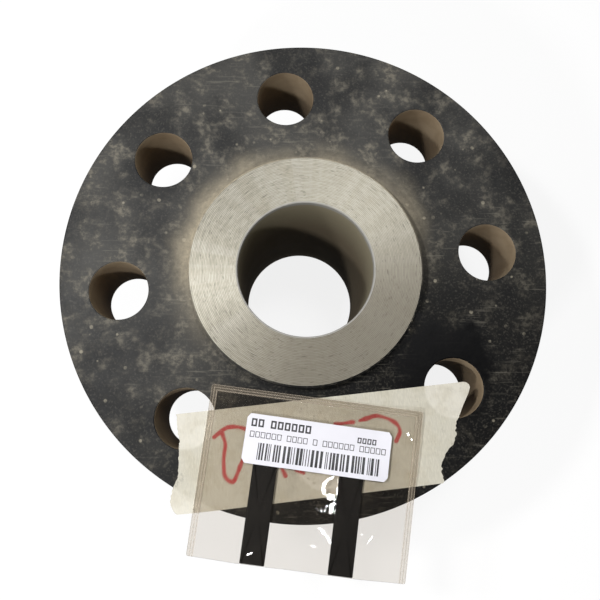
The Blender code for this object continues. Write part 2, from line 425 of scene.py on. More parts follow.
# %% [markdown]
# ## Outlines with round corners
#
# The turned parts are drawn as half a cross-section: radius and height of each corner, with the radius
# of its rounding. `rounded` turns each corner into an arc that is tangent to both of its lines.

# %% Round the corners of an outline
def rounded(corners, steps=4):
    """Points along an outline of (radius, height, rounding). At a corner with a rounding, the arc starts
    and ends where it touches the two lines, at rounding / tan(half the corner's angle) from the corner."""
    corners = np.array(corners, float)
    places = corners[:, :2]
    path = [places[:1]]
    for before, here, after, rounding in zip(places[:-2], places[1:-1], places[2:], corners[1:-1, 2]):
        if rounding == 0:
            path.append(here[None])
            continue
        back = (before - here) / np.linalg.norm(before - here)
        ahead = (after - here) / np.linalg.norm(after - here)
        half = math.acos(np.clip(back @ ahead, -1, 1)) / 2
        middle = here + (back + ahead) / np.linalg.norm(back + ahead) * rounding / math.sin(half)
        start = here + back * rounding / math.tan(half) - middle
        end = here + ahead * rounding / math.tan(half) - middle
        sweep = math.pi - 2 * half
        t = np.linspace(0, 1, steps + 1)[:, None]
        path.append(middle + (np.sin((1 - t) * sweep) * start + np.sin(t * sweep) * end) / math.sin(sweep))
    path.append(places[-1:])
    return np.concatenate(path)


def with_rings(path, longest):
    """Adds points so that no straight stretch of the path is longer than the given length."""
    pieces = [path[:1]]
    for start, end in zip(path[:-1], path[1:]):
        count = max(1, math.ceil(np.linalg.norm(end - start) / longest))
        pieces.append(start + (end - start) * np.linspace(0, 1, count + 1)[1:, None])
    return np.concatenate(pieces)


# %% [markdown]
# ## Turned surfaces
#
# A lathe turns a part about one axis, and so does this: each outline point becomes a ring. The ring's
# angles are shared by every surface of the flange, so that the surfaces meet point to point.

# %% The flange's outlines, turned
STEPS_PER_HOLE = 48
STEPS_ROUND = HOLES * STEPS_PER_HOLE
around = FIRST_HOLE - math.pi / HOLES + 2 * math.pi * np.arange(STEPS_ROUND) / STEPS_ROUND
EDGE = 1.5 * MM
LAND = 0.9 * MM
ROOT_FACE = 1.6 * MM
BEVEL_ANGLE = math.radians(37.5)
STRAIGHT_NECK = 12.0 * MM
HUB_FILLET = 8.0 * MM
NECK_Z = WELD_Z + STRAIGHT_NECK
BEVEL_Z = WELD_Z + (PIPE_R - BORE_R - ROOT_FACE) * math.tan(BEVEL_ANGLE)


def turned(path, finish):
    """Each (radius, height) point of the path goes round the axis: x = radius cos, y = radius sin."""
    radius, height = path[:, :1], path[:, 1:]
    ring = np.broadcast_to(height, (len(path), len(around)))
    points = np.stack([radius * np.cos(around), radius * np.sin(around), ring], axis=-1)
    return points, strip_faces(len(path), len(around), closed=True), finish


COATED, MACHINED, BORED = 0, 1, 2
FRONT_INNER = RAISED_R + 1.5 * MM
BACK_INNER = HUB_R + HUB_FILLET
rim_path = rounded([
    (RIM_R - EDGE, FRONT_Z, 0), (RIM_R, FRONT_Z, 1.0 * MM),
    (RIM_R, BACK_Z, 1.0 * MM), (RIM_R - EDGE, BACK_Z, 0),
])
step_path = rounded([
    (FRONT_INNER, FRONT_Z, 0), (RAISED_R, FRONT_Z, 1.0 * MM), (RAISED_R, FACE_Z, 0.4 * MM),
    (RAISED_R - LAND, FACE_Z, 0),
])
bore_path = rounded([
    (BORE_R + LAND, FACE_Z, 0), (BORE_R, FACE_Z, 0.5 * MM), (BORE_R, WELD_Z, 0.2 * MM),
    (BORE_R + ROOT_FACE, WELD_Z, 0.2 * MM), (PIPE_R, BEVEL_Z, 0.3 * MM),
])
hub_path = rounded([
    (PIPE_R, BEVEL_Z, 0), (PIPE_R, NECK_Z, 6.0 * MM), (HUB_R, BACK_Z, HUB_FILLET), (BACK_INNER, BACK_Z, 0),
], steps=7)
turned_patches = [
    turned(with_rings(rim_path, 12 * MM), COATED),
    turned(with_rings(step_path, 4 * MM), COATED),
    turned(with_rings(bore_path, 16 * MM), BORED),
    turned(with_rings(hub_path, 9 * MM), COATED),
]
print(f"{len(around)} points round, {sum(len(p[1]) for p in turned_patches)} turned faces")

# %% [markdown]
# ## Faces with bolt holes
#
# Each bolt hole has its own eighth of the flange's face. Lines run from the hole's edge to the border of
# that eighth, and rings cross them, like a web. All points of a web lie between the two curves: a
# share of the way from the hole's edge to the border. The hole's wall then goes down from the same edge.

# %% The front and back faces, with the holes between them
SIDE_STEPS = 18
EASED = 0.8 * MM


def eighth_border(number, inner, outer):
    """Border of one hole's eighth of the face, anticlockwise: outer arc, side, inner arc, side."""
    arc = around[0] + 2 * math.pi * (number * STEPS_PER_HOLE + np.arange(STEPS_PER_HOLE + 1)) / len(around)
    side = np.linspace(outer, inner, SIDE_STEPS + 1)
    radii = [np.full(STEPS_PER_HOLE, outer), side[:-1], np.full(STEPS_PER_HOLE, inner), side[:0:-1]]
    angles = [arc[:-1], np.full(SIDE_STEPS, arc[-1]), arc[:0:-1], np.full(SIDE_STEPS, arc[0])]
    radius, angle = np.concatenate(radii), np.concatenate(angles)
    return np.stack([radius * np.cos(angle), radius * np.sin(angle)], axis=-1)


def hole_web(centre, directions, border, height):
    """Rings from the hole's eased edge to the border. A share of 0 is on the hole and 1 on the border."""
    edge = centre + (HOLE_R + EASED) * directions
    share = np.array([0, 0.12, 0.35, 1.0])[:, None, None]
    flat = edge + (border - edge) * share
    return np.concatenate([flat, np.full((*flat.shape[:2], 1), height)], axis=-1)


def hole_wall(centre, directions):
    """From the front's eased edge, round into the wall, down it, and out round the back's eased edge."""
    path = with_rings(rounded([
        (HOLE_R + EASED, FRONT_Z, 0), (HOLE_R, FRONT_Z, 0.7 * MM), (HOLE_R, BACK_Z, 0.7 * MM),
        (HOLE_R + EASED, BACK_Z, 0),
    ], steps=3), 20 * MM)
    flat = centre + path[:, :1, None] * directions
    height = np.broadcast_to(path[:, 1:, None], (*flat.shape[:2], 1))
    return np.concatenate([flat, height], axis=-1)


hole_patches = []
for number, centre in enumerate(hole_centres):
    front = eighth_border(number, FRONT_INNER, RIM_R - EDGE)
    back = eighth_border(number, BACK_INNER, RIM_R - EDGE)
    out = front - centre
    directions = out / np.linalg.norm(out, axis=1, keepdims=True)
    wall = hole_wall(centre, directions)
    middle = (wall[:-1, 0, 2] + wall[1:, 0, 2]) / 2
    on_edge = (middle > FRONT_Z - 0.5 * MM) | (middle < BACK_Z + 0.5 * MM)
    for grid, finish in [
        (hole_web(centre, directions, front, FRONT_Z), COATED),
        (hole_web(centre, directions, back, BACK_Z), COATED),
        (wall, np.repeat(np.where(on_edge, COATED, BORED), len(directions))),
    ]:
        hole_patches.append((grid, strip_faces(grid.shape[0], grid.shape[1], closed=True), finish))
print(f"{HOLES} holes, {len(directions)} points round each")

# %% [markdown]
# ## The spiral groove
#
# The raised face has the usual gasket finish: a spiral cut with a pitch of 0.8 mm. Its cross-section is a
# row of shallow round valleys, a parabola in each. The mesh follows the spiral: every column of points is
# shifted outwards by its share of one pitch, and after a full turn it meets its neighbour one groove on.

# %% The grooved face
PITCH = 0.8 * MM
GROOVE_DEPTH = 0.018 * MM
STEPS_PER_GROOVE = 4


def grooved_face(inner, outer):
    """radius = inner + pitch (step / steps per groove + turn), kept between inner and outer.
    depth = 4 f (1 - f), where f is the part of a groove already passed, and it fades out at both edges."""
    turn = np.arange(len(around) + 1) / len(around)
    rows = np.arange(-STEPS_PER_GROOVE, math.ceil((outer - inner) / PITCH * STEPS_PER_GROOVE) + 1)
    passed = rows[:, None] / STEPS_PER_GROOVE + turn
    radius = np.clip(inner + PITCH * passed, inner, outer)
    within = (rows % STEPS_PER_GROOVE / STEPS_PER_GROOVE)[:, None]
    edge = np.clip(np.minimum(radius - inner, outer - radius) / (0.5 * PITCH), 0, 1)
    height = FACE_Z - GROOVE_DEPTH * 4 * within * (1 - within) * edge
    angle = np.append(around, around[0] + 2 * math.pi)
    points = np.stack([radius * np.cos(angle), radius * np.sin(angle), height], axis=-1)
    return points, strip_faces(*radius.shape, closed=False), MACHINED


face_patch = grooved_face(BORE_R + LAND, RAISED_R - LAND)
print(f"{(RAISED_R - BORE_R - 2 * LAND) / PITCH:.0f} grooves, {GROOVE_DEPTH / MM:.2f} mm deep")

# %% [markdown]
# ## The forging
#
# The patches are joined into one closed body, as the real flange is one piece of steel.

# %% Join the forging
forging_finishes = [coated_steel(), machined_steel(), bored_steel()]
forging = piece_from("flange_forging", [*turned_patches, *hole_patches, face_patch], forging_finishes)
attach(forging, "flange")
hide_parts("weld_neck_forging")

# %% [markdown]
# ## Thin sheets
#
# Tape, films and label are all thin sheets. Each starts as a flat grid in its own small frame, with its
# middle at zero. The grid is lifted to its height, turned to its lie on the flange, and closed with a
# second grid a thickness below and a wall round the border.

# %% Helpers for thin sheets
def laid(x, y, centre, turn):
    """A sheet's own x and y, turned and moved to where it lies on the flange."""
    return (centre[0] + x * math.cos(turn) - y * math.sin(turn),
            centre[1] + x * math.sin(turn) + y * math.cos(turn))


def own_places(sheet, centre, turn):
    """x and y of a finished sheet's points in its own frame: `laid` undone."""
    places = np.empty(len(sheet.data.vertices) * 3, np.float32)
    sheet.data.vertices.foreach_get("co", places)
    return laid(*(places.reshape(-1, 3)[:, :2] - centre).T, (0, 0), -turn)


def smooth(value, start, end):
    """0 at start, 1 at end, with level ends: t squared times 3 - 2t."""
    t = np.clip((value - start) / (end - start), 0, 1)
    return t * t * (3 - 2 * t)


def waves(x, y, size, seed, count=12):
    """Gentle unevenness from -1 to 1 or so: a sum of sine waves of about the given length, in all
    directions."""
    draw = np.random.default_rng(seed)
    angle, phase = draw.uniform(0, 2 * math.pi, (2, count))
    number = 2 * math.pi / size * draw.uniform(0.6, 1.6, count)
    total = sum(np.sin(k * (x * math.cos(a) + y * math.sin(a)) + p) for k, a, p in zip(number, angle, phase))
    return total / math.sqrt(count)


def rounded_grid(xs, ys, width, height, corner):
    """A grid over a rectangle with round corners. Near the left and right ends, each column is
    shortened to the corner's arc: half height = h - c + sqrt(c^2 - d^2)."""
    x, y = np.meshgrid(xs, ys)
    inside = np.maximum(np.abs(x) - (width / 2 - corner), 0)
    half = height / 2 - corner + np.sqrt(np.maximum(corner**2 - inside**2, 0))
    return x, y * half / (height / 2)


def sheet_patches(x, y, z, thickness, finish):
    """Upper grid, lower grid and the wall between their borders. x, y and z are whole grids."""
    top = np.stack([x, y, z], axis=-1)
    bottom = top - np.array([0, 0, thickness])
    rows, columns = x.shape
    faces = strip_faces(rows, columns, closed=False)
    border = [np.concatenate([g[0, :-1], g[:-1, -1], g[-1, :0:-1], g[:0:-1, 0]]) for g in (top, bottom)]
    wall = np.stack(border)
    return [(top, faces, finish), (bottom, faces, 0),
            (wall, strip_faces(2, wall.shape[1], closed=True), 0)]


# %% [markdown]
# ## Masking tape
#
# Crepe paper tape, torn off by hand: the long edges are straight, and the torn ends are ragged. It
# lies on the face, sinks a little over the bolt holes, and droops where it passes the rim. The red
# marker lines on it are kept as an attribute on the mesh's points, 1 where there is ink.

# %% The tape's shape
TAPE_THICKNESS = 0.15 * MM
TAPE_WIDTH = 50.8 * MM
TAPE_CENTRE = (10.0 * MM, -94.0 * MM)
TAPE_TURN = math.radians(6.4)
TORN_LEFT = np.array([
    (25.4, -75.6), (14.8, -75.6), (12.0, -74.8), (7.7, -75.4), (-0.2, -76.3), (-6.8, -77.4), (-11.7, -80.3),
    (-18.7, -82.3), (-24.0, -81.3), (-25.4, -79.4)]) * MM
TORN_RIGHT = np.array([
    (25.4, 77.8), (24.9, 79.4), (23.6, 80.7), (22.0, 80.9), (19.6, 79.8), (12.0, 75.1), (3.5, 70.2),
    (-1.4, 69.7), (-5.3, 68.3), (-9.6, 63.5), (-16.0, 59.5), (-20.0, 59.4), (-25.4, 59.7)]) * MM
TAPE_GRID = 0.55 * MM


def tape_grid():
    """Columns run from one torn end to the other: x = left + (right - left) u, and y goes across."""
    ys = np.linspace(-TAPE_WIDTH / 2, TAPE_WIDTH / 2, round(TAPE_WIDTH / TAPE_GRID))
    left = np.interp(ys, TORN_LEFT[::-1, 0], TORN_LEFT[::-1, 1])
    right = np.interp(ys, TORN_RIGHT[::-1, 0], TORN_RIGHT[::-1, 1])
    left = left + 0.22 * MM * waves(ys, 0, 3 * MM, seed=3)
    right = right + 0.30 * MM * waves(ys, 0, 3 * MM, seed=4) * smooth(ys, 14 * MM, 2 * MM)
    u = np.linspace(0, 1, round(155 * MM / TAPE_GRID))
    return left[:, None] + (right - left)[:, None] * u, np.repeat(ys[:, None], len(u), axis=1)


def tape_height(face_x, face_y):
    past_rim = np.maximum(np.hypot(face_x, face_y) - RIM_R - 0.8 * MM, 0)
    height = FRONT_Z + 0.30 * MM + 0.05 * MM * waves(face_x, face_y, 26 * MM, seed=5) - 26.0 * past_rim**2
    for centre in hole_centres:
        inside = smooth(np.hypot(face_x - centre[0], face_y - centre[1]), HOLE_R, HOLE_R * 0.6)
        height = height - 0.22 * MM * inside
    return height


tape_x, tape_y = tape_grid()
tape_face_x, tape_face_y = laid(tape_x, tape_y, TAPE_CENTRE, TAPE_TURN)
tape_z = tape_height(tape_face_x, tape_face_y)

# %% [markdown]
# The marker lines are smooth curves through a few points. A point of the tape is inked where its
# distance from the nearest curve is less than half the pen's width. They are plain strokes, a tick and
# a loose arc, and spell nothing.

# %% The marker's strokes
PEN_WIDTH = 2.1 * MM
STROKES = [
    [(-56.8, 11.6), (-50.6, 15.3), (-44.2, 15.2), (-40.0, 13.6)],
    [(-52.7, 13.6), (-51.6, 7.0), (-53.2, -2.0), (-53.0, -8.8), (-50.3, -12.0), (-48.1, -11.0), (-44.4, -3.9),
     (-39.0, 5.0)],
    [(-23.4, -8.3), (-22.0, -12.4)],
    [(-16.0, -10.0), (-12.4, -11.8)],
    [(7.0, 11.0), (17.1, 10.9)],
    [(19.8, 11.3), (27.5, 12.8), (34.4, 10.9), (39.2, 7.3), (40.2, 3.3), (37.5, -1.5)],
]


def smooth_curve(points, samples=60):
    """A curve through all its points: each stretch is the cubic whose slopes come from the neighbours."""
    p = np.array(points, float) * MM
    p = np.concatenate([[2 * p[0] - p[1]], p, [2 * p[-1] - p[-2]]])
    t = np.linspace(0, 1, samples)[:, None]
    return np.concatenate([
        0.5 * (2 * b + (c - a) * t + (2 * a - 5 * b + 4 * c - d) * t**2 + (3 * b - a - 3 * c + d) * t**3)
        for a, b, c, d in zip(p[:-3], p[1:-2], p[2:-1], p[3:])])


def ink_at(x, y):
    """How much ink lies at each point, from 0 to 1."""
    nearest = np.full(x.shape, 1.0)
    for stroke in STROKES:
        for near in smooth_curve(stroke)[::4]:
            nearest = np.minimum(nearest, np.hypot(x - near[0], y - near[1]))
    width = PEN_WIDTH * (1 + 0.18 * waves(x, y, 9 * MM, seed=6))
    return smooth(nearest, width / 2 + 0.3 * MM, width / 2 - 0.3 * MM)


# %% [markdown]
# ## The tape's finish
#
# Cream paper with fine crepe ridges across its length. It is thin, so it looks greyer where dark steel
# lies behind it, and lighter over the holes and past the rim, where light comes through.

# %% Crepe paper
def crepe_paper():
    made, tree, shader, place = new_finish("crepe_paper")
    own = node(tree, "Mapping", {"Vector": place, "Rotation": (0.0, 0.0, -TAPE_TURN)}).outputs[0]
    ridges = noise(tree, vector_maths(tree, "MULTIPLY", own, (1.0, 0.22, 0.5)), 1400.0, 3.0, 0.6)
    blotches = noise(tree, place, 90.0, 5.0, 0.6)
    radius, _ = round_place(tree, place)
    open_air = fade(tree, radius, RIM_R - 1 * MM, RIM_R + 1 * MM)
    for centre in hole_centres:
        middle = (float(centre[0]), float(centre[1]), FRONT_Z)
        away = vector_maths(tree, "DISTANCE", place, middle, output="Value")
        open_air = maths(tree, "MAXIMUM", open_air, fade(tree, away, HOLE_R + 1 * MM, HOLE_R - 1 * MM))
    colour = mixed(tree, open_air, srgb(188, 184, 170), srgb(206, 202, 190))
    colour = tinted(tree, colour, blotches, 0.42, 0.66, 0.35, srgb(168, 160, 138))
    colour = tinted(tree, colour, ridges, 0.35, 0.7, 0.22, srgb(232, 226, 208))
    smears = noise(tree, place, 30.0, 2.0, 0.5)
    dirt = fade(tree, noise(tree, place, 210.0, 6.0, 0.75), 0.56, 0.70)
    dirt = times(tree, dirt, fade(tree, smears, 0.45, 0.62))
    colour = mixed(tree, times(tree, dirt, 0.55), colour, srgb(104, 103, 98))
    ink = node(tree, "Attribute", attribute_name="ink").outputs["Fac"]
    ink = times(tree, ink, maths(tree, "MULTIPLY_ADD", ridges, 0.5, 0.62))
    colour = mixed(tree, ink, colour, srgb(176, 44, 50))
    fill(tree, shader, {
        "Base Color": colour,
        "Roughness": 0.8,
        "Specular IOR Level": 0.25,
        "Normal": bumped(tree, ridges, 0.10 * MM, 0.7),
    })
    return made


tape_patches = sheet_patches(tape_face_x, tape_face_y, tape_z, TAPE_THICKNESS, 0)
tape = piece_from("tape_strip", tape_patches, [crepe_paper()])
ink = tape.data.attributes.new("ink", "FLOAT", "POINT")
ink.data.foreach_set("value", ink_at(*own_places(tape, TAPE_CENTRE, TAPE_TURN)).astype(np.float32))
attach(tape, "flange")
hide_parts("masking_tape")

# %% [markdown]
# ## The pouch's lie
#
# One height field serves the pouch's two films and its label. The films lie on top of the two magnetic
# strips, sink towards the tape between and beside them, and come down to it at the top edge. The front
# film also stands off the back film a little, and has wrinkles of its own.

# %% The pouch's height field
POUCH_WIDTH = 112.0 * MM
POUCH_HEIGHT = 87.0 * MM
POUCH_CENTRE = (0.5 * MM, -111.8 * MM)
POUCH_TURN = math.radians(-7.5)
STRIP_X = 22.5 * MM
STRIP_WIDTH = 12.7 * MM
STRIP_LENGTH = 50.8 * MM
STRIP_CORNER = 0.6 * MM
STRIP_EASE = 0.3 * MM
STRIP_BOTTOM = 0.55 * MM
STRIP_THICKNESS = 1.5 * MM
STRIP_TOP_Y = STRIP_LENGTH - POUCH_HEIGHT / 2
FILM = 0.2 * MM
FILM_CORNER = 1.0 * MM


def crease(x, y, start, end, width, height):
    """A ridge along the line from start to end, highest at its middle, that falls off to both sides."""
    start, end = np.array(start) * MM, np.array(end) * MM
    length = np.linalg.norm(end - start)
    way = (end - start) / length
    along = ((x - start[0]) * way[0] + (y - start[1]) * way[1]) / length
    aside = (x - start[0]) * way[1] - (y - start[1]) * way[0]
    return height * MM * np.exp(-(aside / (width * MM)) ** 2) * np.clip(4 * along * (1 - along), 0, 1) ** 0.7


def pouch_lie(x, y):
    """Height of the back film over the flange's front face."""
    beside = np.minimum(np.abs(x - STRIP_X), np.abs(x + STRIP_X)) - STRIP_WIDTH / 2
    between = 0.55 * smooth(np.abs(x), STRIP_X, 0.5 * STRIP_X)
    across = np.maximum(smooth(beside, 20 * MM, 0), between)
    below_top = smooth(y, STRIP_TOP_Y + 15 * MM, STRIP_TOP_Y - 1 * MM)
    lie = 0.75 * MM + 1.5 * MM * across * below_top
    lie = lie + 1.7 * MM * smooth(x, 32 * MM, POUCH_WIDTH / 2) * smooth(y, -20 * MM, 30 * MM)
    face_x, face_y = laid(x, y, POUCH_CENTRE, POUCH_TURN)
    past_rim = np.maximum(np.hypot(face_x, face_y) - RIM_R, 0)
    lie = lie - 0.9 * past_rim**2 * smooth(np.abs(x), 30 * MM, POUCH_WIDTH / 2)
    return lie + 0.08 * MM * waves(x, y, 34 * MM, seed=7)


CREASES = [
    ((50.2, 34.0), (52.4, 27.0), 0.9, 0.30), ((31.4, -18.5), (33.3, -25.0), 0.8, 0.25),
    ((10.0, 5.0), (8.5, -8.0), 1.6, 0.40), ((8.0, -20.0), (16.0, -29.0), 1.4, 0.40),
    ((5.6, -9.0), (7.0, -14.5), 0.8, 0.22), ((21.5, -12.0), (26.0, -40.0), 1.0, 0.20),
    ((-40.0, 2.0), (-30.0, -24.0), 2.4, 0.30), ((42.0, 0.0), (36.0, -34.0), 2.6, 0.32),
    ((-8.0, 0.0), (-2.0, -34.0), 2.2, 0.28),
]


def front_bulge(x, y):
    """Space between the films: nothing at the welds, more in the middle, and the wrinkles on top.
    CREASES gives each wrinkle's ends, width and height in millimetres, in the pouch's own frame."""
    edge = np.minimum(np.minimum(POUCH_WIDTH / 2 - np.abs(x), POUCH_HEIGHT / 2 - y), 12 * MM)
    loose = smooth(edge, 3.5 * MM, 12 * MM)
    beside_label = 1 - smooth(y, 2 * MM, 7 * MM) * smooth(np.abs(x - 3 * MM), 41 * MM, 36 * MM)
    wrinkles = sum(crease(x, y, *one) for one in CREASES)
    ripple = 0.03 * MM * waves(x, y, 8 * MM, seed=8) * loose
    return 0.12 * MM + 0.35 * MM * loose + (wrinkles + ripple) * beside_label * smooth(edge, 1 * MM, 5 * MM)


# %% [markdown]
# ## Magnetic strips
#
# Two strips of flexible magnet, cut with scissors and stuck to the back of the pouch. Each is a slab
# with eased edges. Its surface is a stack of outlines: the same rounded rectangle again and again,
# shrunk towards its middle on the top and the bottom.

# %% The magnetic strips
def slab(x, y, width, height, corner, bottom, thickness, ease):
    """Rings of a rounded rectangle. The inset and the height of each ring follow the slab's section,
    and the first and the last ring are shrunk to a point in the middle."""
    turn = np.linspace(0, math.pi / 2, 9)
    quarters = [(1, 1, 0), (-1, 1, 1), (-1, -1, 2), (1, -1, 3)]
    half = np.array([width / 2 - corner, height / 2 - corner])
    middles = np.concatenate([np.tile(half * (sx, sy), (9, 1)) for sx, sy, _ in quarters])
    angle = np.concatenate([turn + q * math.pi / 2 for _, _, q in quarters])
    way = np.stack([np.cos(angle), np.sin(angle)], axis=-1)
    top = bottom + thickness
    section = rounded([(4 * ease, top, 0), (0, top, ease), (0, bottom, ease), (4 * ease, bottom, 0)], steps=4)
    rings = middles + (corner - section[:, :1, None]) * way
    rings = np.concatenate([rings[:1] * 0.001, rings, rings[:1] * 0.001])
    levels = np.concatenate([[top], section[:, 1], [bottom]])
    grid_x, grid_y = laid(x + rings[..., 0], y + rings[..., 1], POUCH_CENTRE, POUCH_TURN)
    points = np.stack([grid_x, grid_y, np.broadcast_to(levels[:, None], grid_x.shape)], axis=-1)
    return points, strip_faces(points.shape[0], points.shape[1], closed=True), 0


def flexible_magnet():
    made, tree, shader, place = new_finish("flexible_magnet")
    grain = noise(tree, place, 1100.0, 4.0, 0.6)
    dust = noise(tree, place, 260.0, 6.0, 0.7)
    dusty = times(tree, fade(tree, dust, 0.55, 0.75), 0.2)
    fill(tree, shader, {
        "Base Color": mixed(tree, dusty, srgb(9, 9, 11), srgb(48, 45, 42)),
        "Specular IOR Level": 0.2,
        "Roughness": maths(tree, "MULTIPLY_ADD", dust, 0.3, 0.4),
        "Normal": bumped(tree, grain, 0.05 * MM, 0.5),
    })
    return made


magnet_finish = flexible_magnet()
for side, node_name in [(-1, "magnet_strip_left"), (1, "magnet_strip_right")]:
    patch = slab(side * STRIP_X, (STRIP_LENGTH - POUCH_HEIGHT) / 2, STRIP_WIDTH, STRIP_LENGTH,
                 STRIP_CORNER, FRONT_Z + STRIP_BOTTOM, STRIP_THICKNESS, STRIP_EASE)
    strip = piece_from(node_name.replace("strip", "tape"), [patch], [magnet_finish], weld=2e-5)
    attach(strip, "pouch")
    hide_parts(node_name)

# %% [markdown]
# ## Clear vinyl films
#
# The two films are welded together near the left, top and right edges, in two thin parallel lines, and
# the bottom is open. The weld lines are pressed into the front film. The grid is finer along the edges,
# so that they come out sharp.

# %% The pouch's films
WELDS_AT = (1.3 * MM, 3.2 * MM)
WELD_WIDTH = 0.35 * MM
WELD_DEPTH = 0.08 * MM


def edge_fine(half, fine, coarse, band=5 * MM):
    """Places from -half to half, closer together within a band along both ends."""
    ends = np.arange(0, band, fine)
    middle = np.linspace(-half + band, half - band, round(2 * (half - band) / coarse))
    return np.concatenate([-half + ends, middle, (half - ends)[::-1]])


def weld_lines(x, y):
    """Depth pressed in by the welds: two narrow valleys, each exp(-(distance / width) squared), at
    set distances from the three welded edges."""
    edge = np.minimum(POUCH_WIDTH / 2 - np.abs(x), POUCH_HEIGHT / 2 - y)
    return WELD_DEPTH * sum(np.exp(-((edge - at) / WELD_WIDTH) ** 2) for at in WELDS_AT)


FILM_GRID = 0.62 * MM
WELD_GRID = 0.3 * MM
film_x, film_y = rounded_grid(
    edge_fine(POUCH_WIDTH / 2, WELD_GRID, FILM_GRID), edge_fine(POUCH_HEIGHT / 2, WELD_GRID, FILM_GRID),
    POUCH_WIDTH, POUCH_HEIGHT, FILM_CORNER)
film_face = laid(film_x, film_y, POUCH_CENTRE, POUCH_TURN)
back_z = FRONT_Z + pouch_lie(film_x, film_y) + FILM
front_z = back_z + FILM + front_bulge(film_x, film_y) - weld_lines(film_x, film_y)


def clear_vinyl():
    """Light passes straight through, slightly tinted, or is reflected, more of it at a grazing angle.
    The cut edge and the welds are milky lines, worked out in the pouch's own frame."""
    made, tree, shader, place = new_finish("clear_vinyl")
    tree.nodes.remove(shader)
    centred = vector_maths(tree, "SUBTRACT", place, (*POUCH_CENTRE, 0.0))
    own = node(tree, "Mapping", {"Vector": centred, "Rotation": (0.0, 0.0, -POUCH_TURN)}).outputs[0]
    apart = node(tree, "SeparateXYZ", {0: own})
    from_side = maths(tree, "SUBTRACT", POUCH_WIDTH / 2, maths(tree, "ABSOLUTE", apart.outputs["X"]))
    from_top = maths(tree, "SUBTRACT", POUCH_HEIGHT / 2, apart.outputs["Y"])
    edge = maths(tree, "MINIMUM", from_side, from_top)
    lines = 0.0
    for at, width in [(0.0, 0.55 * MM), (1.5 * MM, 0.45 * MM), (2.9 * MM, 0.5 * MM)]:
        away = maths(tree, "ABSOLUTE", maths(tree, "SUBTRACT", edge, at))
        lines = maths(tree, "ADD", lines, fade(tree, away, width, 0.0))
    haze = noise(tree, place, 70.0, 5.0, 0.6)
    grain = noise(tree, place, 500.0, 2.0, 0.5)
    lean = node(tree, "Attribute", attribute_name="lean").outputs["Vector"]
    normal = vector_maths(tree, "ADD", bumped(tree, grain, 0.01 * MM, 0.3), lean)
    normal = vector_maths(tree, "NORMALIZE", normal)
    border = times(tree, fade(tree, edge, 3.6 * MM, 3.2 * MM), 0.04)
    milkiness = maths(tree, "ADD", times(tree, lines, 0.14), border)
    milkiness = maths(tree, "ADD", milkiness, times(tree, haze, 0.005))
    clear = node(tree, "BsdfTransparent", {"Color": (0.962, 0.953, 0.941, 1.0)}).outputs[0]
    milky = node(tree, "BsdfDiffuse", {"Color": srgb(196, 184, 166), "Normal": normal}).outputs[0]
    gloss = {"Color": (1.0, 1.0, 1.0, 1.0), "Roughness": 0.09, "Normal": normal}
    shine = node(tree, "BsdfGlossy", gloss).outputs[0]
    body = node(tree, "MixShader", {0: milkiness, 1: clear, 2: milky}).outputs[0]
    share = node(tree, "Fresnel", {"IOR": 1.28, "Normal": normal}).outputs[0]
    surface = node(tree, "MixShader", {0: share, 1: body, 2: shine}).outputs[0]
    put(tree, tree.nodes["Material Output"].inputs["Surface"], surface)
    return made


# %% [markdown]
# Crumpled film glints where one of its small facets faces a lamp. The facets are too small for the
# grid, so each is kept as a lean of the surface on the mesh's points: how far the normal tips over
# there. Each glint is a short curve with a width, both in millimetres in the pouch's own frame, and the
# slope that faces a lamp. That slope grows by LEAN_GROWTH per metre away from the pouch's middle,
# because the lamps are near.

# %% The front film's small facets
TO_LEFT_LAMP = (0.331, -0.153)
TO_FRONT_LAMP = (0.263, 0.295)
LEAN_GROWTH = 2.2
GLINTS = [
    ([(12.6, 3.9), (9.8, 2.0), (8.8, -1.0), (9.7, -4.0), (11.8, -5.6)], 1.9, TO_LEFT_LAMP),
    ([(11.8, -5.2), (15.0, -5.6)], 3.4, TO_LEFT_LAMP),
    ([(15.8, 3.2), (15.9, -6.0), (15.8, -13.6)], 1.1, TO_FRONT_LAMP),
    ([(15.0, -7.0), (14.0, -12.6)], 2.6, TO_LEFT_LAMP),
    ([(11.5, -9.6), (10.6, -13.4)], 1.3, TO_FRONT_LAMP),
    ([(6.2, -11.8), (7.6, -13.0)], 1.0, TO_FRONT_LAMP), ([(8.4, -11.4), (9.4, -13.4)], 1.0, TO_LEFT_LAMP),
    ([(9.2, -21.8), (11.8, -23.4), (15.2, -27.2)], 1.9, TO_LEFT_LAMP),
    ([(5.4, -30.4), (8.4, -30.8)], 1.0, TO_FRONT_LAMP),
    ([(30.4, -21.5), (32.0, -22.7)], 1.0, TO_LEFT_LAMP), ([(34.5, -25.3), (36.5, -22.3)], 1.1, TO_LEFT_LAMP),
    ([(-25.6, -38.9), (-23.0, -37.6)], 1.4, TO_LEFT_LAMP), ([(49.0, 31.2), (51.8, 28.0)], 1.1, TO_LEFT_LAMP),
]


def front_slopes(x, y):
    """Slopes of the front film along its own x and y, from heights a short step to each side."""
    step = 0.1 * MM
    ahead = [pouch_lie(x + dx, y + dy) + front_bulge(x + dx, y + dy) for dx, dy in ((step, 0), (0, step))]
    behind = [pouch_lie(x - dx, y - dy) + front_bulge(x - dx, y - dy) for dx, dy in ((step, 0), (0, step))]
    return [(far - near) / (2 * step) for far, near in zip(ahead, behind)]


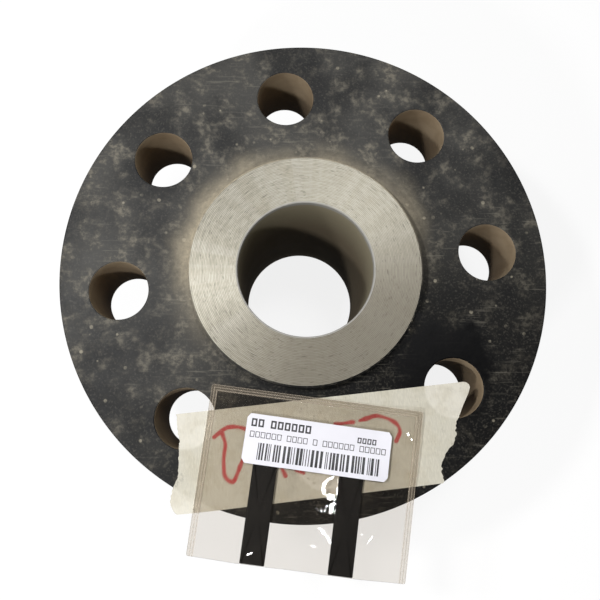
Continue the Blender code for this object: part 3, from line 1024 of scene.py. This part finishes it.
def film_lean(x, y):
    """How the normal leans at each point of the front film, as vectors in the flange's directions."""
    slope_x, slope_y = front_slopes(x, y)
    lean_x, lean_y = np.zeros_like(x), np.zeros_like(y)
    for curve, width, slope in GLINTS:
        nearest = np.full(x.shape, 1.0)
        for near in smooth_curve(curve)[::3]:
            nearest = np.minimum(nearest, np.hypot(x - near[0], y - near[1]))
        half = width * MM / 2 * (1 + 0.35 * waves(x, y, 4 * MM, seed=9))
        share = smooth(nearest, half + 0.25 * MM, half - 0.25 * MM)
        lean_x = lean_x * (1 - share) + share * (slope_x - slope[0] - LEAN_GROWTH * x)
        lean_y = lean_y * (1 - share) + share * (slope_y - slope[1] - LEAN_GROWTH * y)
    turned_x, turned_y = laid(lean_x, lean_y, (0, 0), POUCH_TURN)
    return np.stack([turned_x, turned_y, np.zeros_like(x)], axis=-1)


vinyl = clear_vinyl()
for name, node_name, height in [("pouch_back_sheet", "pouch_back_film", back_z),
                                ("pouch_front_sheet", "pouch_front_film", front_z)]:
    film = piece_from(name, sheet_patches(*film_face, height, FILM, 0), [vinyl])
    if name == "pouch_front_sheet":
        lean = film.data.attributes.new("lean", "FLOAT_VECTOR", "POINT")
        leans = film_lean(*own_places(film, POUCH_CENTRE, POUCH_TURN))
        lean.data.foreach_set("vector", leans.astype(np.float32).ravel())
    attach(film, "pouch")
    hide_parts(node_name)

# %% [markdown]
# ## The label
#
# A printed paper label on the front film. Its print is part of the mesh: grid lines run along every
# edge of the print, and the cells inside it take the ink's finish. The print is generic: rows of empty
# boxes stand for words, and the bars' widths come from a seeded draw and encode nothing.

# %% The label's print
LABEL_WIDTH = 76.2 * MM
LABEL_HEIGHT = 25.4 * MM
LABEL_CENTRE = (3.0 * MM, 18.2 * MM)
LABEL_TURN = math.radians(-0.4)
LABEL_CORNER = 2.2 * MM
LABEL_THICKNESS = 0.12 * MM
LABEL_RISE = 0.22 * MM


def boxes(left, bottom, width, height, gap, wall, words):
    """Rectangles (x0, y0, x1, y1) of hollow boxes: four walls each, with a space after every word."""
    found, x = [], left
    for letters in words:
        for _ in range(letters):
            right, top = x + width, bottom + height
            found += [(x, bottom, x + wall, top), (right - wall, bottom, right, top),
                      (x, bottom, right, bottom + wall), (x, top - wall, right, top)]
            x = right + gap
        x += width
    return found


def bars(left, right, bottom, top, module, seed):
    """Upright bars of 1 to 3 modules with gaps of 1 to 3, drawn at random."""
    draw = np.random.default_rng(seed)
    widths = module * draw.choice([1, 1, 1, 2, 2, 3], 400)
    ends = left + np.cumsum(widths)
    return [(end - width, bottom, end, top) for end, width in zip(ends[::2], widths[::2]) if end < right]


PRINT = np.array(
    boxes(-35.6, 6.2, 2.9, 4.1, 0.75, 0.85, [2, 6])
    + boxes(20.5, 5.0, 2.1, 2.9, 0.5, 0.6, [4])
    + boxes(-35.6, 0.7, 2.3, 3.1, 0.55, 0.36, [6, 4, 1, 6, 5])
    + bars(-30.5, 33.5, -10.3, -1.7, 0.46, seed=11)) * MM


def label_grid():
    """Grid lines on every edge of the print, and a few more for the corners."""
    columns = np.linspace(-LABEL_WIDTH / 2, LABEL_WIDTH / 2, 49)
    rows = np.linspace(-LABEL_HEIGHT / 2, LABEL_HEIGHT / 2, 13)
    xs = np.unique(np.concatenate([PRINT[:, 0], PRINT[:, 2], columns]).round(7))
    ys = np.unique(np.concatenate([PRINT[:, 1], PRINT[:, 3], rows]).round(7))
    return xs[np.abs(xs) <= LABEL_WIDTH / 2 + 1e-7], ys


label_xs, label_ys = label_grid()
cell_x = (label_xs[1:] + label_xs[:-1])[None, :, None] / 2
cell_y = (label_ys[1:] + label_ys[:-1])[:, None, None] / 2
in_column = (cell_x > PRINT[:, 0]) & (cell_x < PRINT[:, 2])
in_row = (cell_y > PRINT[:, 1]) & (cell_y < PRINT[:, 3])
printed = (in_column & in_row).any(axis=-1)
print(f"{len(PRINT)} printed rectangles on a grid of {printed.shape[1]} by {printed.shape[0]} cells")


def label_finish(name, colour, roughness):
    made, tree, shader, place = new_finish(name)
    fibres = noise(tree, place, 1500.0, 3.0, 0.6)
    clouds = noise(tree, place, 120.0, 3.0, 0.5)
    fill(tree, shader, {
        "Base Color": mixed(tree, times(tree, clouds, 0.12), colour, srgb(150, 146, 150)),
        "Roughness": maths(tree, "MULTIPLY_ADD", fibres, 0.2, roughness),
        "Normal": bumped(tree, fibres, 0.02 * MM, 0.4),
    })
    return made


label_x, label_y = rounded_grid(label_xs, label_ys, LABEL_WIDTH, LABEL_HEIGHT, LABEL_CORNER)
pouch_x, pouch_y = laid(label_x, label_y, LABEL_CENTRE, LABEL_TURN)
label_z = FRONT_Z + pouch_lie(pouch_x, pouch_y) + 2 * FILM + front_bulge(pouch_x, pouch_y) + LABEL_RISE
label_face = laid(pouch_x, pouch_y, POUCH_CENTRE, POUCH_TURN)
label_patches = sheet_patches(*label_face, label_z, LABEL_THICKNESS, printed.ravel().astype(int))
paper = label_finish("label_paper", srgb(226, 225, 232), 0.35)
label_ink = label_finish("label_ink", srgb(24, 23, 26), 0.3)
label = piece_from("printed_label", label_patches, [paper, label_ink])
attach(label, "pouch")
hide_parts("part_label")

# %% [markdown]
# ## Light and floor
#
# A plain pale floor and three soft lamps: one on the left and one at the front left, which light the
# far walls of the holes, and a larger one high up behind, which fills in from above.
# The sky is pale only in a low band, so that the rim shows from the side, and nearly dark overhead.

# %% Floor, sky and lights
def soft_light(name, azimuth, elevation, distance, size, power):
    """A square lamp that looks at the middle of the raised face. Its azimuth is in degrees from +X,
    and its elevation in degrees from level."""
    a, e = math.radians(azimuth), math.radians(elevation)
    way = Vector((math.cos(a) * math.cos(e), math.sin(a) * math.cos(e), math.sin(e)))
    lamp = bpy.data.lights.new(name, "AREA")
    lamp.size = size
    lamp.energy = power
    obj = bpy.data.objects.new(name, lamp)
    obj.location = Vector((0, 0, FACE_Z)) + way * distance
    obj.rotation_euler = way.to_track_quat("Z", "Y").to_euler()
    bpy.context.scene.collection.objects.link(obj)


soft_light("lamp_left", 168, 57, 0.90, 0.09, 4.9)
soft_light("lamp_front", 236, 40, 0.85, 0.09, 3.4)
soft_light("ceiling", 72, 72, 1.4, 0.25, 7.0)

FLOOR_HALF = 4.0
floor_corners = [(x * FLOOR_HALF, y * FLOOR_HALF, WELD_Z) for x, y in [(-1, -1), (1, -1), (1, 1), (-1, 1)]]
floor_mesh = bpy.data.meshes.new("floor")
floor_mesh.from_pydata(floor_corners, [], [(0, 1, 2, 3)])
floor = bpy.data.objects.new("floor", floor_mesh)
bpy.context.scene.collection.objects.link(floor)
floor_finish, floor_tree, floor_shader, _ = new_finish("pale_floor")
fill(floor_tree, floor_shader, {
    "Base Color": (0.15, 0.15, 0.15, 1.0),
    "Roughness": 0.9,
    "Emission Color": (1.0, 1.0, 1.0, 1.0),
    "Emission Strength": 0.85,
})
floor_mesh.materials.append(floor_finish)
floor.visible_diffuse = False
floor.visible_glossy = False

world = bpy.data.worlds.new("pale_sky")
bpy.context.scene.world = world
world.use_nodes = True
sky = world.node_tree
upward = height_of(sky, node(sky, "TexCoord").outputs["Generated"])
band = times(sky, fade(sky, upward, 0.40, 0.05), fade(sky, upward, -0.25, -0.02))
fill(sky, sky.nodes["Background"], {
    "Strength": maths(sky, "MULTIPLY_ADD", band, 0.85, 0.06),
    "Color": (1.0, 1.0, 1.0, 1.0),
})
bpy.context.scene.view_settings.view_transform = "Standard"
